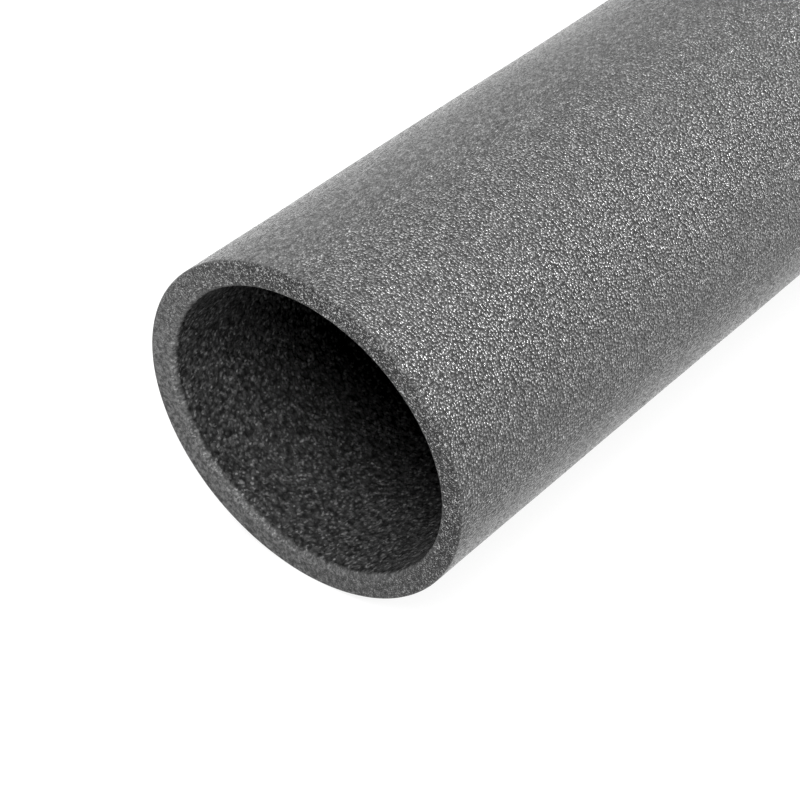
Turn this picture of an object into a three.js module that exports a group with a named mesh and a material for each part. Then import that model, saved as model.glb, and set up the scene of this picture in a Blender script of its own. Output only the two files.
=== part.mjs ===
// Foam pipe lagging: one straight length of closed-cell polyethylene foam tube, open at both ends.
// Millimetres, +Z up. The tube lies along X, and the origin is on the floor under the middle of it.

import * as THREE from 'three';

// Driving dimensions
const BORE_DIAMETER = 110; // the pipe that the tube slips over, and the bore's mean diameter
const WALL = 9.4; // foam thickness, the same all round
const LENGTH = 1000; // one length as it is sold
const SAG = 2.4; // lying unheld, the tube is this much wider and lower than round, on each radius
const FACETS = 192; // flat steps around each outline, an even number

const OUTER_RADIUS = BORE_DIAMETER / 2 + WALL;

// A sagged ring's outline, as points on the plane of the section: the point whose outward normal
// stands at `angle` lies at distance radius + SAG cos(2 angle) along that normal. Outlines of two
// radii are parallel curves, so the wall between them is even. The steps begin half a facet past
// straight down, and a flat facet is therefore centred at the bottom, where the tube rests.
function saggedOutline(radius) {
  const points = [];
  for (let i = 0; i < FACETS; i += 1) {
    const angle = ((i + 0.5) * 2 * Math.PI) / FACETS - Math.PI / 2;
    const reach = radius + SAG * Math.cos(2 * angle);
    const turn = -2 * SAG * Math.sin(2 * angle);
    points.push(
      new THREE.Vector2(
        reach * Math.cos(angle) - turn * Math.sin(angle),
        reach * Math.sin(angle) + turn * Math.cos(angle),
      ),
    );
  }
  return points;
}

// The annular section, drawn with x to +Y and y up.
function tubeSection() {
  const section = new THREE.Shape(saggedOutline(OUTER_RADIUS));
  section.holes.push(new THREE.Path(saggedOutline(BORE_DIAMETER / 2)));
  return section;
}

// The solid tube: the section run along X, centred on the origin, with its lowest facet on Z = 0.
function foamTube() {
  const geometry = new THREE.ExtrudeGeometry(tubeSection(), { depth: LENGTH, bevelEnabled: false });
  geometry.translate(0, 0, -LENGTH / 2);
  const sectionToRow = new THREE.Matrix4().makeBasis(
    new THREE.Vector3(0, 1, 0),
    new THREE.Vector3(0, 0, 1),
    new THREE.Vector3(1, 0, 0),
  );
  geometry.applyMatrix4(sectionToRow);
  geometry.computeBoundingBox();
  geometry.translate(0, 0, -geometry.boundingBox.min.z);

  const foam = new THREE.MeshStandardMaterial({ color: 0x66676a, roughness: 0.8, metalness: 0 });
  const mesh = new THREE.Mesh(geometry, foam);
  mesh.name = 'foam_tube';
  return mesh;
}

const lagging = new THREE.Group();
lagging.name = 'pipe_lagging';
lagging.add(foamTube());

export default lagging;
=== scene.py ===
"""A length of grey foam pipe lagging on a pale floor, seen at its cut end."""
import math

import bpy
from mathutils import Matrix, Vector, noise


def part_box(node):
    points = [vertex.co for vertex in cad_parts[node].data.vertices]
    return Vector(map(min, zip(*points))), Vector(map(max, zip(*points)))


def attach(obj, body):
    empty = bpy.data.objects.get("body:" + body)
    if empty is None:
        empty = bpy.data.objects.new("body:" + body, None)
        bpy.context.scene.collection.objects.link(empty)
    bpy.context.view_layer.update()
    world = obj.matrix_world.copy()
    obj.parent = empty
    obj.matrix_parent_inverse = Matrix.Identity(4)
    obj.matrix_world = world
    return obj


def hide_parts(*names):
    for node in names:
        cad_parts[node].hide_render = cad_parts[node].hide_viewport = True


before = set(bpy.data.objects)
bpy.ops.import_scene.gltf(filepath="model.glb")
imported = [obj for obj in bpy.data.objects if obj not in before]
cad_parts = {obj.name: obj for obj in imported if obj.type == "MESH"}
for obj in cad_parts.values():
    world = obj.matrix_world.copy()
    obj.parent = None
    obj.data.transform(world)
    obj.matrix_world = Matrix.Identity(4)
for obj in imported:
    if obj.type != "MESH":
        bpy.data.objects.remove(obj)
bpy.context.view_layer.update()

MM = 0.001

# The tube's sizes, from the solid that it replaces
tube_low, tube_high = (Vector(corner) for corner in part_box("foam_tube"))
NEAR_END, FAR_END = tube_low.x, tube_high.x
LENGTH = FAR_END - NEAR_END
HALF_WIDTH = (tube_high.y - tube_low.y) / 2
HALF_HEIGHT = (tube_high.z - tube_low.z) / 2
OUTER_RADIUS = (HALF_WIDTH + HALF_HEIGHT) / 2
SAG = (HALF_WIDTH - HALF_HEIGHT) / 2
AXIS_HEIGHT = (tube_high.z + tube_low.z) / 2
NEAR_MIDDLE = Vector((NEAR_END, 0, AXIS_HEIGHT))
WALL = 9.4 * MM  # the solid's wall, which its box can't give
BORE_RADIUS = OUTER_RADIUS - WALL

# The cut ends
OUTER_LIP = 0.9 * MM
BORE_LIP = 1.3 * MM
FACE_DISHING = 0.16 * MM
FACE_PITS = 0.06 * MM
PIT_SIZE = 0.9 * MM
PIT_STEEPNESS = 2.2
NEAR_BORE_SHIFT = 0.9 * MM  # the near end's bore stands off-centre towards -Y
NEAR_BORE_REACH = 45 * MM

# The bore's lip is rounder, and the cut smeared, towards this side, as an angle from +Y
WORN_SIDE = math.radians(-48)
WORN_LIP = 1.5 * MM
WORN_REACH = 6 * MM

# The long walls
SKIN_WAVES = 0.22 * MM
BORE_WAVES = 0.4 * MM
WAVE_LENGTH = 75 * MM
RIPPLES = 0.07 * MM
RIPPLE_LENGTH = 19 * MM

# Where in the noise each kind of wave is taken from
SKIN_WAVES_FROM = 3
BORE_WAVES_FROM = 11
RIPPLES_FROM = 23
DISHING_FROM = 41

# The mesh's steps: all the columns near the ends, half of them further in, and then a quarter
FINE_COLUMNS = 768
SKIN_STEP = 7.5 * MM
BORE_STEP = 12 * MM
FINE_ROWS = (0.5 * MM, 1.1 * MM, 1.9 * MM)
HALVED_ROWS = (3.2 * MM, 5.2 * MM)
QUARTERED_FROM = 8.4 * MM
LIP_STEPS = 4
FACE_STEPS = 16

# The photograph's camera, in pixels, degrees and metres
PHOTO_SIDE = 800
FOCAL_PIXELS = 2259
SENSOR = 36
CAMERA_TURN = -50.76
CAMERA_RISE = 38.08
NEAR_END_PIXEL = (299.2, 434.1)
NEAR_END_AWAY = 0.7356

# The photograph's contrasty print
BLACK = 0.006
PRINT_GAMMA = 0.8

# The white room and its floor, which glows as a light table does
ROOM_LIGHT = 0.91
FLOOR_REACH = 30
FLOOR_GREY = 0.12
FLOOR_ROUGHNESS = 0.7
FLOOR_GLOW = 0.88
LIT_SKIN = 200 * MM  # how far in from the near end the lamps are aimed that the bubbles mirror


def lip_rows(radius, outer):
    """The rows round one rounded edge, from the long wall to the face. Each row is its distance from the end,
    its depth into the wall, its columns and its share of cut face."""
    rows = []
    for step in range(LIP_STEPS + 1):
        turn = step / LIP_STEPS * math.pi / 2
        inwards = radius * (1 - math.cos(turn))
        depth = inwards if outer else WALL - inwards
        rows.append((radius * (1 - math.sin(turn)), depth, FINE_COLUMNS, step / LIP_STEPS))
    return rows


def wall_rows(lip, depth, longest_step):
    """The rows of one long wall from the middle of the tube to where its lip begins."""
    run = LENGTH / 2 - QUARTERED_FROM
    count = round(run / longest_step)
    rows = [(LENGTH / 2 - run * i / count, depth, FINE_COLUMNS // 4, 0) for i in range(count + 1)]
    rows += [(lip + d, depth, FINE_COLUMNS // 2, 0) for d in reversed(HALVED_ROWS)]
    rows += [(lip + d, depth, FINE_COLUMNS, 0) for d in reversed(FINE_ROWS)]
    return rows


def half_profile():
    """Rows from the middle of the skin, over one end's face, to the middle of the bore."""
    flat = WALL - OUTER_LIP - BORE_LIP
    face = [(0, OUTER_LIP + flat * i / FACE_STEPS, FINE_COLUMNS, 1) for i in range(1, FACE_STEPS)]
    return (
        wall_rows(OUTER_LIP, 0, SKIN_STEP)
        + lip_rows(OUTER_LIP, True)
        + face
        + lip_rows(BORE_LIP, False)[::-1]
        + wall_rows(BORE_LIP, WALL, BORE_STEP)[::-1]
    )


def whole_profile():
    """The closed loop of rows, over the near end and back over the far one, each now beginning with its x."""
    half = half_profile()
    near = [(NEAR_END + away, depth, columns, cut) for away, depth, columns, cut in half]
    far = [(FAR_END - away, depth, columns, cut) for away, depth, columns, cut in reversed(half)]
    return near + far[1:-1]


def wave(point, length, start):
    """A smooth seeded swell between about -1 and 1."""
    return noise.noise(point / length + Vector((start, 0, 0)))


def section_point(radius, angle):
    """The sagged outline's point and its outward normal, across and up from the tube's axis."""
    reach = radius + SAG * math.cos(2 * angle)
    turn = -2 * SAG * math.sin(2 * angle)
    outwards = (math.cos(angle), math.sin(angle))
    point = (
        reach * outwards[0] - turn * outwards[1],
        reach * outwards[1] + turn * outwards[0],
    )
    return point, outwards


def to_middle(x):
    """The way along X from the nearer end to the tube's middle, as 1 or -1."""
    return 1 if x < 0 else -1


def worn(x, depth, angle):
    """x and depth moved so that the bore's lip is rounder on the worn side."""
    growth = WORN_LIP * (1 + math.cos(angle - WORN_SIDE)) / 2
    lip_starts = WALL - BORE_LIP
    away = min(x - NEAR_END, FAR_END - x)
    if depth < OUTER_LIP:
        return x, depth
    if depth < lip_starts:
        return x, depth - growth * (depth - OUTER_LIP) / (lip_starts - OUTER_LIP)
    if away < BORE_LIP:
        return x + to_middle(x) * growth * away / BORE_LIP, depth - growth * (WALL - depth) / BORE_LIP
    return x + to_middle(x) * growth * math.exp((BORE_LIP - away) / WORN_REACH), depth


def swell(plain, inner):
    """How far the wall stands out at a point: the skin's or the bore's slow waves, and ripples."""
    on_skin = (1 - inner) * SKIN_WAVES * wave(plain, WAVE_LENGTH, SKIN_WAVES_FROM)
    in_bore = inner * BORE_WAVES * wave(plain, WAVE_LENGTH, BORE_WAVES_FROM)
    return on_skin + in_bore + RIPPLES * wave(plain, RIPPLE_LENGTH, RIPPLES_FROM)


def hollow(plain, cut):
    """How far a cut face's point lies behind the plain cut: the pits of its cells, and its slight dishing."""
    painted_gap_shade = noise.voronoi(plain / PIT_SIZE)[0]
    pit = cut * FACE_PITS * min(1.0, PIT_STEEPNESS * (painted_gap_shade[1] - painted_gap_shade[0]))
    return pit + cut * FACE_DISHING * (1 + wave(plain, RIPPLE_LENGTH, DISHING_FROM))


def tube_point(x, depth, cut, angle):
    """One vertex of the tube, with the waves of its walls and the hollows of its cut faces."""
    x, depth = worn(x, depth, angle)
    (across, up), (out_y, out_z) = section_point(OUTER_RADIUS - depth, angle)
    plain = Vector((x, across, AXIS_HEIGHT + up))
    inner = depth / WALL
    near_end = math.exp(-(x - NEAR_END) / NEAR_BORE_REACH)
    point = plain + Vector((0, out_y, out_z)) * swell(plain, inner)
    point.y -= inner * near_end * NEAR_BORE_SHIFT
    if cut:
        point.x += to_middle(x) * hollow(plain, cut)
    point.z = max(point.z, 0.0)
    return point


def band(start_a, columns_a, start_b, columns_b):
    """The faces between two neighbouring rows, facing out of the foam. Where one row has twice the columns,
    three triangles turn each pair of its steps into one."""
    if columns_a == columns_b:
        steps = [(i, (i + 1) % columns_a) for i in range(columns_a)]
        return [(start_a + i, start_b + i, start_b + j, start_a + j) for i, j in steps]
    flip = columns_a < columns_b
    fine, coarse = (start_a, columns_a), (start_b, columns_b)
    if flip:
        fine, coarse = coarse, fine
    faces = []
    for i in range(coarse[1]):
        left, right = coarse[0] + i, coarse[0] + (i + 1) % coarse[1]
        first, middle, last = (fine[0] + (2 * i + k) % fine[1] for k in range(3))
        three = [(first, left, middle), (middle, left, right), (middle, right, last)]
        faces += [face[::-1] for face in three] if flip else three
    return faces


def add_to_scene(name, data):
    """An object with that mesh, camera or lamp."""
    made = bpy.data.objects.new(name, data)
    bpy.context.scene.collection.objects.link(made)
    return made


def make_tube():
    """The foam tube as one closed mesh, with the share of cut face and of bore kept on its points."""
    profile = whole_profile()
    points, cut_share, bore_share, starts = [], [], [], []
    for x, depth, columns, cut in profile:
        starts.append(len(points))
        in_bore = depth > WALL / 2 and cut < 1
        cut_share += [cut] * columns
        bore_share += [1.0 if in_bore else 0.0] * columns
        for i in range(columns):
            angle = (i + 0.5) / columns * 2 * math.pi - math.pi / 2
            points.append(tube_point(x, depth, cut, angle))
    faces = []
    for i in range(len(profile)):
        j = (i + 1) % len(profile)
        faces += band(starts[i], profile[i][2], starts[j], profile[j][2])
    mesh = bpy.data.meshes.new("foam_tube_body")
    mesh.from_pydata(points, [], faces)
    for name, values in (("cut_share", cut_share), ("bore_share", bore_share)):
        attribute = mesh.attributes.new(name, "FLOAT", "POINT")
        attribute.data.foreach_set("value", values)
    mesh.polygons.foreach_set("use_smooth", [True] * len(mesh.polygons))
    mesh.update()
    return add_to_scene("foam_tube_body", mesh)


class Wire:
    """One output of a material's nodes. An expression on numbers adds its Math nodes."""

    def __init__(self, finish, node, out=0):
        self.finish = finish
        self.node = node
        self.out = out

    @property
    def socket(self):
        return self.node.outputs[self.out]

    def maths(self, operation, first, second):
        return self.finish.add("ShaderNodeMath", {"operation": operation}, {0: first, 1: second})

    def __add__(self, other):
        return self.maths("ADD", self, other)

    def __sub__(self, other):
        return self.maths("SUBTRACT", self, other)

    def __rsub__(self, other):
        return self.maths("SUBTRACT", other, self)

    def __mul__(self, other):
        return self.maths("MULTIPLY", self, other)

    def __pow__(self, other):
        return self.maths("POWER", self, other)

    def __abs__(self):
        return self.finish.add("ShaderNodeMath", {"operation": "ABSOLUTE"}, {0: self})

    __radd__ = __add__
    __rmul__ = __mul__


class Finish:
    """A material and the nodes that make it."""

    def __init__(self, name):
        self.material = bpy.data.materials.new(name)
        self.material.use_nodes = True
        self.tree = self.material.node_tree
        self.tree.nodes.clear()

    def add(self, kind, settings=(), sockets=(), out=0):
        """A node of that kind, its settings set first and then its sockets' values or links."""
        node = self.tree.nodes.new(kind)
        for name, value in dict(settings).items():
            setattr(node, name, value)
        for name, value in dict(sockets).items():
            if isinstance(value, Wire):
                self.tree.links.new(value.socket, node.inputs[name])
            else:
                node.inputs[name].default_value = value
        return Wire(self, node, out)

    def parts(self, place):
        """A place's three numbers."""
        apart = self.add("ShaderNodeSeparateXYZ", {}, {"Vector": place}, "X")
        return apart, Wire(self, apart.node, "Y"), Wire(self, apart.node, "Z")

    def place(self):
        """Where a point of the tube is from the middle of its axis, in millimetres."""
        here = self.add("ShaderNodeTexCoord", out="Object")
        scale = (1 / MM, 1 / MM, 1 / MM)
        shift = (0, 0, -AXIS_HEIGHT / MM)
        return self.add("ShaderNodeVectorMath", {"operation": "MULTIPLY_ADD"}, {0: here, 1: scale, 2: shift})

    def wall_place(self, place, radius, drawn_out):
        """The place on the tube's wall laid flat: along the tube, and round it at that radius, with the join
        at the bottom. The cells made there are that much longer along the tube than across it."""
        along, across, up = self.parts(place)
        turn = self.add("ShaderNodeMath", {"operation": "ARCTAN2"}, {0: across, 1: up})
        return self.add("ShaderNodeCombineXYZ", {}, {"X": along * (1 / drawn_out), "Y": turn * radius})

    def face_place(self, place):
        """The place on a cut face: across and up."""
        across, up = self.parts(place)[1:]
        return self.add("ShaderNodeCombineXYZ", {}, {"X": across, "Y": up})

    def share(self, name):
        """A number kept on the mesh's points."""
        return self.add("ShaderNodeAttribute", {"attribute_name": name}, out="Fac")

    def ease(self, value, low, high, at_low=0.0, at_high=1.0):
        """value turned smoothly from at_low to at_high as it goes from low to high."""
        return self.add(
            "ShaderNodeMapRange",
            {"interpolation_type": "SMOOTHSTEP"},
            {"Value": value, "From Min": low, "From Max": high, "To Min": at_low, "To Max": at_high},
        )

    def clouds(self, place, length, detail):
        """A cloudy number round 0.5, with clouds of that length in millimetres."""
        return self.add(
            "ShaderNodeTexNoise",
            {"noise_dimensions": "3D"},
            {"Vector": place, "Scale": 1 / length, "Detail": detail, "Roughness": 0.5},
        )

    def cells(self, place, size, ways="2D"):
        """Foam cells of that size in millimetres: the distance from each one's middle, and its own tone."""
        away = self.add(
            "ShaderNodeTexVoronoi",
            {"voronoi_dimensions": ways, "feature": "F1"},
            {"Vector": place, "Scale": 1 / size, "Randomness": 1.0},
            "Distance",
        )
        own = Wire(self, away.node, "Color")
        return away, self.add("ShaderNodeSeparateColor", {}, {"Color": own}, "Red")


def blend(first, second, share):
    """first where share is 0 and second where it is 1."""
    return first * (1 - share) + second * share


def varied(tone, spread):
    """A factor round 1 that differs by that spread between the darkest and the lightest cell."""
    return tone * spread + (1 - spread / 2)


def dome(away, height):
    """A bubble's rounded relief, by the distance from its middle."""
    return away * away * -height


# The relief of small bubbles, in millimetres, and how far cells differ in roughness
SMALL_DOME = 0.05
ROUGHNESS_SPREAD = 0.1

# The skin's patterns and relief, in millimetres
BUBBLE = 0.87
SMALL_BUBBLE = 0.6
SPECK = 0.33
DULL_PIT = 2.2
SMUDGE = 2.0
MOTTLE = 5.0
BUBBLE_DOME = 0.42
DRAWN_OUT = 1.3  # how many times as long as wide the bubbles are

# The skin's grey, and how strongly each pattern shows in it
SKIN_GREY = 0.138
# Painted highlights: how light the bubbles' middles are
BUBBLE_HIGHLIGHT = 2.9
SMALL_BUBBLE_HIGHLIGHT = 0.4
BETWEEN_BUBBLES = 0.46
CALM_TOP_TONE = 0.54
# Painted light: the lighter tone of the smooth strip low down
LIT_LOW_TONE = 0.6
SPECKS = 0.5
# Painted shade: how dark the gaps and the pits are, and how much darker both are low down
GAP_SHADE = 0.68
PIT_SHADE = 0.6
LOW_DOWN_SHADE = 0.2
CALM_SMUDGES = 1.6
CALM_FLATTENS = 0.7

# Fades by a bubble's distance or tone, each as the low, high, at_low and at_high that Finish.ease takes
HIGHLIGHT_MIDDLE = (0.0, 0.36, 1.0, 0.0)
SMALL_HIGHLIGHT_MIDDLE = (0.0, 0.5, 1.0, 0.0)
GAP = (0.3, 0.54)
PIT = (0.36, 0.12)
PITTED_TONES = (0.4, 0.6)
GLOSS_OF_TONE = (0.1, 0.6, 0.42, 0.1)
DULL_GAP = (0.15, 0.5, 0.0, 0.2)

# Fades by the clouds
SMUDGE_SHADES = (0.3, 0.7, 0.7, 1.3)
MOTTLE_SHADES = (0.3, 0.7, 0.78, 1.22)

# Fades by the height over the tube's axis or the place across it, in millimetres
# Painted shade: where the gaps and pits darken further, low down on the side
LOW_DOWN_SHADE_FADE = (45.0, -10.0)
CALM_LIT_LOW = (2.0, -22.0, 0.0, 0.65)
CALM_TOP = (15.0, 35.0)
CALM_BACK = (-20.0, 21.0, 0.0, 0.6)


def skin_look(foam, place):
    """The skin's colour, relief and roughness: light glossy bubbles whose lighter middles are painted
    highlights, painted shade in the dark gaps and dull pits, deeper low down, and soft smudges.
    It is calmer beside the top of the tube, towards +Y, and low down, where its lighter tone is a painted
    light strip."""
    across, up = foam.parts(place)[1:]
    flat = foam.wall_place(place, OUTER_RADIUS / MM, DRAWN_OUT)
    away, tone = foam.cells(flat, BUBBLE)
    small_away, small_tone = foam.cells(flat, SMALL_BUBBLE)
    pit_away, pit_tone = foam.cells(flat, DULL_PIT)
    speck_tone = foam.cells(flat, SPECK)[1]
    calm_top = foam.ease(across, *CALM_BACK) * foam.ease(up, *CALM_TOP)
    calm_lit_low = foam.ease(up, *CALM_LIT_LOW)

    # Painted shade: the gaps and pits are darker low down on the side, where less light falls
    painted_low_shade = foam.ease(up, *LOW_DOWN_SHADE_FADE) * LOW_DOWN_SHADE
    # Painted shade: the gaps between the bubbles are darker, as shade falls in them
    painted_gap_shade = 1 - foam.ease(away, *GAP) * (painted_low_shade + GAP_SHADE)
    # Painted shade: some of the larger cells hold a dark pit in their middle
    painted_pit_shade = 1 - foam.ease(pit_away, *PIT) * foam.ease(pit_tone, *PITTED_TONES) * (painted_low_shade + PIT_SHADE)
    # Painted highlights: the middles of the bubbles and the small bubbles are lighter, on top of the lamps'
    # real glints
    painted_highlights = foam.ease(away, *HIGHLIGHT_MIDDLE) * tone * tone * BUBBLE_HIGHLIGHT
    small_painted_highlights = foam.ease(small_away, *SMALL_HIGHLIGHT_MIDDLE) * small_tone * SMALL_BUBBLE_HIGHLIGHT
    bubbly = (painted_highlights + small_painted_highlights + BETWEEN_BUBBLES) * painted_gap_shade * varied(speck_tone, SPECKS)
    plain_smudges = foam.ease(foam.clouds(flat, SMUDGE, detail=1.0), *SMUDGE_SHADES)
    smudges = plain_smudges * blend(1, plain_smudges, calm_top * CALM_SMUDGES)
    mottle = foam.ease(foam.clouds(place, MOTTLE, detail=4.0), *MOTTLE_SHADES)
    # Painted light: low down the bubbles give way to a lighter, smoother tone, a light strip along the lower
    # edge
    calmed = blend(blend(bubbly, CALM_TOP_TONE, calm_top), LIT_LOW_TONE, calm_lit_low)
    colour = calmed * smudges * painted_pit_shade * mottle * SKIN_GREY

    relief = dome(away, BUBBLE_DOME) + dome(small_away, SMALL_DOME)
    height = relief * (1 - (calm_top + calm_lit_low) * CALM_FLATTENS)
    rough = foam.ease(tone, *GLOSS_OF_TONE) + foam.ease(away, *DULL_GAP)
    return colour, height, rough


# The bore's patterns and relief, in millimetres
BORE_BUBBLE = 1.6
SMALL_BORE_BUBBLE = 0.75
MURK = 2.6
BORE_DOME = 0.2
MURK_RELIEF = 0.5
BORE_DRAWN_OUT = 1.1

# The bore's grey and roughness, and how strongly each pattern shows
BORE_GREY = 0.08
BORE_GLINT_POWER = 5  # the higher, the fewer bubbles carry a painted glint
BORE_GLINT = 1.6
PLAIN_BORE = 0.75
BORE_ROUGHNESS = 0.4
BORE_HIGHLIGHT_MIDDLE = (0.0, 0.8, 1.35, 0.65)  # painted highlight and shade, lighter in the middle: a fade by the distance from a bubble's middle
MURK_SHADES = (0.3, 0.7, 0.55, 1.45)  # a fade by the clouds

# Painted shade: the bore darkens from the first to the second of these distances from the end, where less
# light reaches
DARKENS_FROM = 20 * MM
DARK_FROM = 120 * MM
DEEP_SHADE = 0.3


def bore_look(foam, place):
    """The bore's colour, relief and roughness: coarse dull bubbles in murk with painted highlights, and
    painted shade darker further in.
    """
    from_middle = abs(foam.parts(place)[0])
    flat = foam.wall_place(place, BORE_RADIUS / MM, BORE_DRAWN_OUT)
    away, tone = foam.cells(flat, BORE_BUBBLE)
    small_away, small_tone = foam.cells(flat, SMALL_BORE_BUBBLE)
    murk = foam.clouds(place, MURK, detail=3.0)

    # Painted highlights: the bubbles are lighter in their middles, and a few are much lighter
    painted_bore_highlights = foam.ease(away, *BORE_HIGHLIGHT_MIDDLE) * (small_tone ** BORE_GLINT_POWER * BORE_GLINT + PLAIN_BORE)
    dark_at, lit_at = ((LENGTH / 2 - distance) / MM for distance in (DARK_FROM, DARKENS_FROM))
    # Painted shade: the colour darkens deeper into the bore
    painted_depth_shade = foam.ease(from_middle, dark_at, lit_at, DEEP_SHADE, 1.0)
    colour = foam.ease(murk, *MURK_SHADES) * painted_bore_highlights * painted_depth_shade * BORE_GREY

    height = dome(away, BORE_DOME) + dome(small_away, SMALL_DOME) + murk * MURK_RELIEF
    return colour, height, tone * ROUGHNESS_SPREAD + BORE_ROUGHNESS


# The cut face's patterns and relief, in millimetres
FACE_CELL = 0.36
FACE_SPECKLE = 0.5
WISP = 1.3
FACE_CUP = 0.25

# The cut face's grey and roughness, and how strongly each pattern shows
FACE_GREY = 0.104
FACE_GLINT_POWER = 4  # the higher, the fewer cells carry a painted glint
FACE_GLINT = 4.0
PLAIN_FACE = 0.3
SPECKLES = 1.1
WISP_GRAIN = 0.5
FACE_ROUGHNESS = 0.45
SMEAR_FLATTENS = 0.7
WISP_SHADES = (0.35, 0.65, 0.55, 1.7)  # a fade by the clouds
FACE_PAINTED_SHADE = (-60.0, 60.0, 0.88, 1.13)  # painted shade, darker low and lighter high: a fade by the height over the tube's axis, in millimetres
SMEARED = (-0.8, 1.0)  # a fade by how far a point lies towards the worn side, in outer radii


def smear_share(foam, place):
    """How smeared the cut is: 1 on the worn side, and 0 across from it."""
    across, up = foam.parts(place)[1:]
    radius = OUTER_RADIUS / MM
    towards_worn = across * (math.cos(WORN_SIDE) / radius) + up * (math.sin(WORN_SIDE) / radius)
    return foam.ease(towards_worn, *SMEARED)


def face_look(foam, place, smear):
    """The cut face's colour, relief and roughness: fine cells, crisp on one side with painted glints on a
    few, and drawn into wisps where the cut is smeared, and, as painted shade, lighter towards the top."""
    up = foam.parts(place)[2]
    flat = foam.face_place(place)
    away, tone = foam.cells(flat, FACE_CELL)
    speckle_tone = foam.cells(flat, FACE_SPECKLE)[1]

    # Painted glints: a few of the cut cells are much lighter, where their walls would shine
    crisp_painted_glints = (tone ** FACE_GLINT_POWER * FACE_GLINT + PLAIN_FACE) * varied(speckle_tone, SPECKLES)
    wisps = foam.ease(foam.clouds(place, WISP, detail=4.0), *WISP_SHADES) * varied(tone, WISP_GRAIN)
    # Painted shade: the face is lighter towards the top and darker towards the bottom
    colour = blend(crisp_painted_glints, wisps, smear) * foam.ease(up, *FACE_PAINTED_SHADE) * FACE_GREY

    height = away * FACE_CUP * (1 - smear * SMEAR_FLATTENS)
    return colour, height, tone * ROUGHNESS_SPREAD + FACE_ROUGHNESS


# Painted highlights in flecks on the bore's rounded lip, where the cut is smeared
LIP_GLINT = 0.55  # millimetres
LIP_GLINTS_LIGHT = 0.13
LIP_GLINT_TONES = (0.7, 0.95)  # a fade by the tone
BETWEEN_LIP_GLINTS = 0.15

# The gloss of each part, and the silky sheen that only the skin has
SKIN_GLOSS = 0.8
DULL_GLOSS = 0.4
SHEEN = 0.18
SHEEN_SPREAD = 0.3


def painted_lip_highlights(foam, place, cut, bore, smear):
    """The painted highlight flecks added to the bore's lip, most of all halfway over it, where cut is a half.
    """
    on_lip = cut * (1 - cut) * 4 * bore * smear
    tone = foam.cells(place, LIP_GLINT, "3D")[1]
    return on_lip * blend(BETWEEN_LIP_GLINTS, 1, foam.ease(tone, *LIP_GLINT_TONES)) * LIP_GLINTS_LIGHT


def foam_finish():
    """Closed-cell polyethylene foam: the skin, the bore and the cut face, blended by the mesh's shares."""
    foam = Finish("grey_foam")
    place = foam.place()
    cut = foam.share("cut_share")
    bore = foam.share("bore_share")
    smear = smear_share(foam, place)
    looks = zip(skin_look(foam, place), bore_look(foam, place), face_look(foam, place, smear))
    colour, height, rough = (blend(blend(skin, inside, bore), face, cut) for skin, inside, face in looks)
    bumps = foam.add("ShaderNodeBump", {}, {"Strength": 1.0, "Distance": MM, "Height": height})
    both = {
        # the bore's lip gets painted highlight flecks
        "Base Color": colour + painted_lip_highlights(foam, place, cut, bore, smear),
        "Roughness": rough,
        "Normal": bumps,
    }
    on_skin = {"Specular IOR Level": SKIN_GLOSS, "Sheen Weight": SHEEN, "Sheen Roughness": SHEEN_SPREAD}
    silky = foam.add("ShaderNodeBsdfPrincipled", {}, both | on_skin)
    dull = foam.add("ShaderNodeBsdfPrincipled", {}, both | {"Specular IOR Level": DULL_GLOSS})
    whole = foam.add("ShaderNodeMixShader", {}, {0: blend(bore, 1, cut), 1: silky, 2: dull})
    foam.add("ShaderNodeOutputMaterial", {}, {"Surface": whole})
    return foam.material


def floor_finish():
    """A plain matt surface that glows."""
    plain = Finish("pale_floor")
    sockets = {
        "Base Color": (FLOOR_GREY, FLOOR_GREY, FLOOR_GREY, 1),
        "Roughness": FLOOR_ROUGHNESS,
        "Emission Strength": FLOOR_GLOW,
    }
    shader = plain.add("ShaderNodeBsdfPrincipled", {}, sockets)
    plain.add("ShaderNodeOutputMaterial", {}, {"Surface": shader})
    return plain.material


def make_floor():
    """The pale floor that the tube lies on."""
    corners = [(x * FLOOR_REACH, y * FLOOR_REACH, 0) for x, y in ((-1, -1), (1, -1), (1, 1), (-1, 1))]
    mesh = bpy.data.meshes.new("floor")
    mesh.from_pydata(corners, [], [(0, 1, 2, 3)])
    mesh.materials.append(floor_finish())
    floor = add_to_scene("floor", mesh)


def looking_down(name, data, turn, rise):
    """A camera or lamp that looks along +Y, turned left and risen by those degrees, and the way behind it."""
    turn, rise = math.radians(turn), math.radians(rise)
    behind = Vector((math.sin(turn) * math.cos(rise), -math.cos(turn) * math.cos(rise), math.sin(rise)))
    made = add_to_scene(name, data)
    made.rotation_mode = "QUATERNION"
    made.rotation_quaternion = (-behind).to_track_quat("-Z", "Y")
    return made, behind


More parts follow.
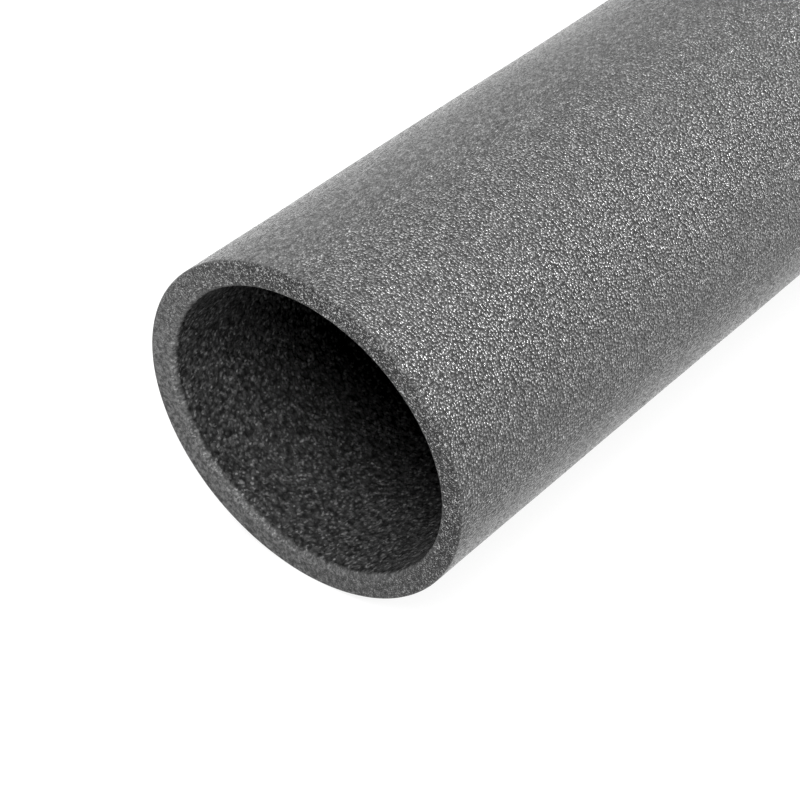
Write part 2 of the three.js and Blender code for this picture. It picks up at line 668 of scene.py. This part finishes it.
def make_camera():
    """The photograph's view: the near end's middle shows at its pixel, at its distance."""
    middle = PHOTO_SIDE / 2
    sight = Vector((NEAR_END_PIXEL[0] - middle, middle - NEAR_END_PIXEL[1], -FOCAL_PIXELS)).normalized()
    data = bpy.data.cameras.new("photo_camera")
    data.sensor_width = SENSOR
    data.lens = SENSOR * FOCAL_PIXELS / PHOTO_SIDE
    camera = looking_down("photo_camera", data, CAMERA_TURN, CAMERA_RISE)[0]
    camera.location = NEAR_MIDDLE - camera.rotation_quaternion @ sight * NEAR_END_AWAY
    bpy.context.scene.camera = camera


def soft_light(name, aim, turn, rise, away, side, strength):
    """A square lamp that faces aim from that far away."""
    data = bpy.data.lights.new(name, "AREA")
    data.size = side
    data.energy = strength
    lamp, behind = looking_down(name, data, turn, rise)
    lamp.location = aim + behind * away


def light_studio():
    """A white room, a key lamp above the camera, and four lamps round the tube that its bubbles mirror."""
    world = bpy.data.worlds.new("white_room")
    world.use_nodes = True
    room = world.node_tree.nodes["Background"]
    room.inputs["Color"].default_value = (1, 1, 1, 1)
    room.inputs["Strength"].default_value = ROOM_LIGHT
    bpy.context.scene.world = world
    look = bpy.context.scene.view_settings
    look.view_transform = "Standard"
    look.gamma = PRINT_GAMMA
    look.use_curve_mapping = True
    look.curve_mapping.black_level = (BLACK, BLACK, BLACK)
    look.curve_mapping.update()
    skin = NEAR_MIDDLE + Vector((LIT_SKIN, 0, 0))
    soft_light("key", NEAR_MIDDLE, turn=-50, rise=56, away=0.85, side=0.35, strength=6.5)
    soft_light("glint_low", skin, turn=46, rise=30, away=3.2, side=0.6, strength=46)
    soft_light("glint_high", skin, turn=74, rise=49, away=3.2, side=0.6, strength=34)
    soft_light("glint_floor", skin, turn=38, rise=8, away=3.2, side=0.6, strength=16)
    soft_light("back", skin, turn=140, rise=50, away=3.0, side=1.5, strength=24)


make_camera()
light_studio()
make_floor()
tube = make_tube()
tube.data.materials.append(foam_finish())
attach(tube, "root")
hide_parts("foam_tube")
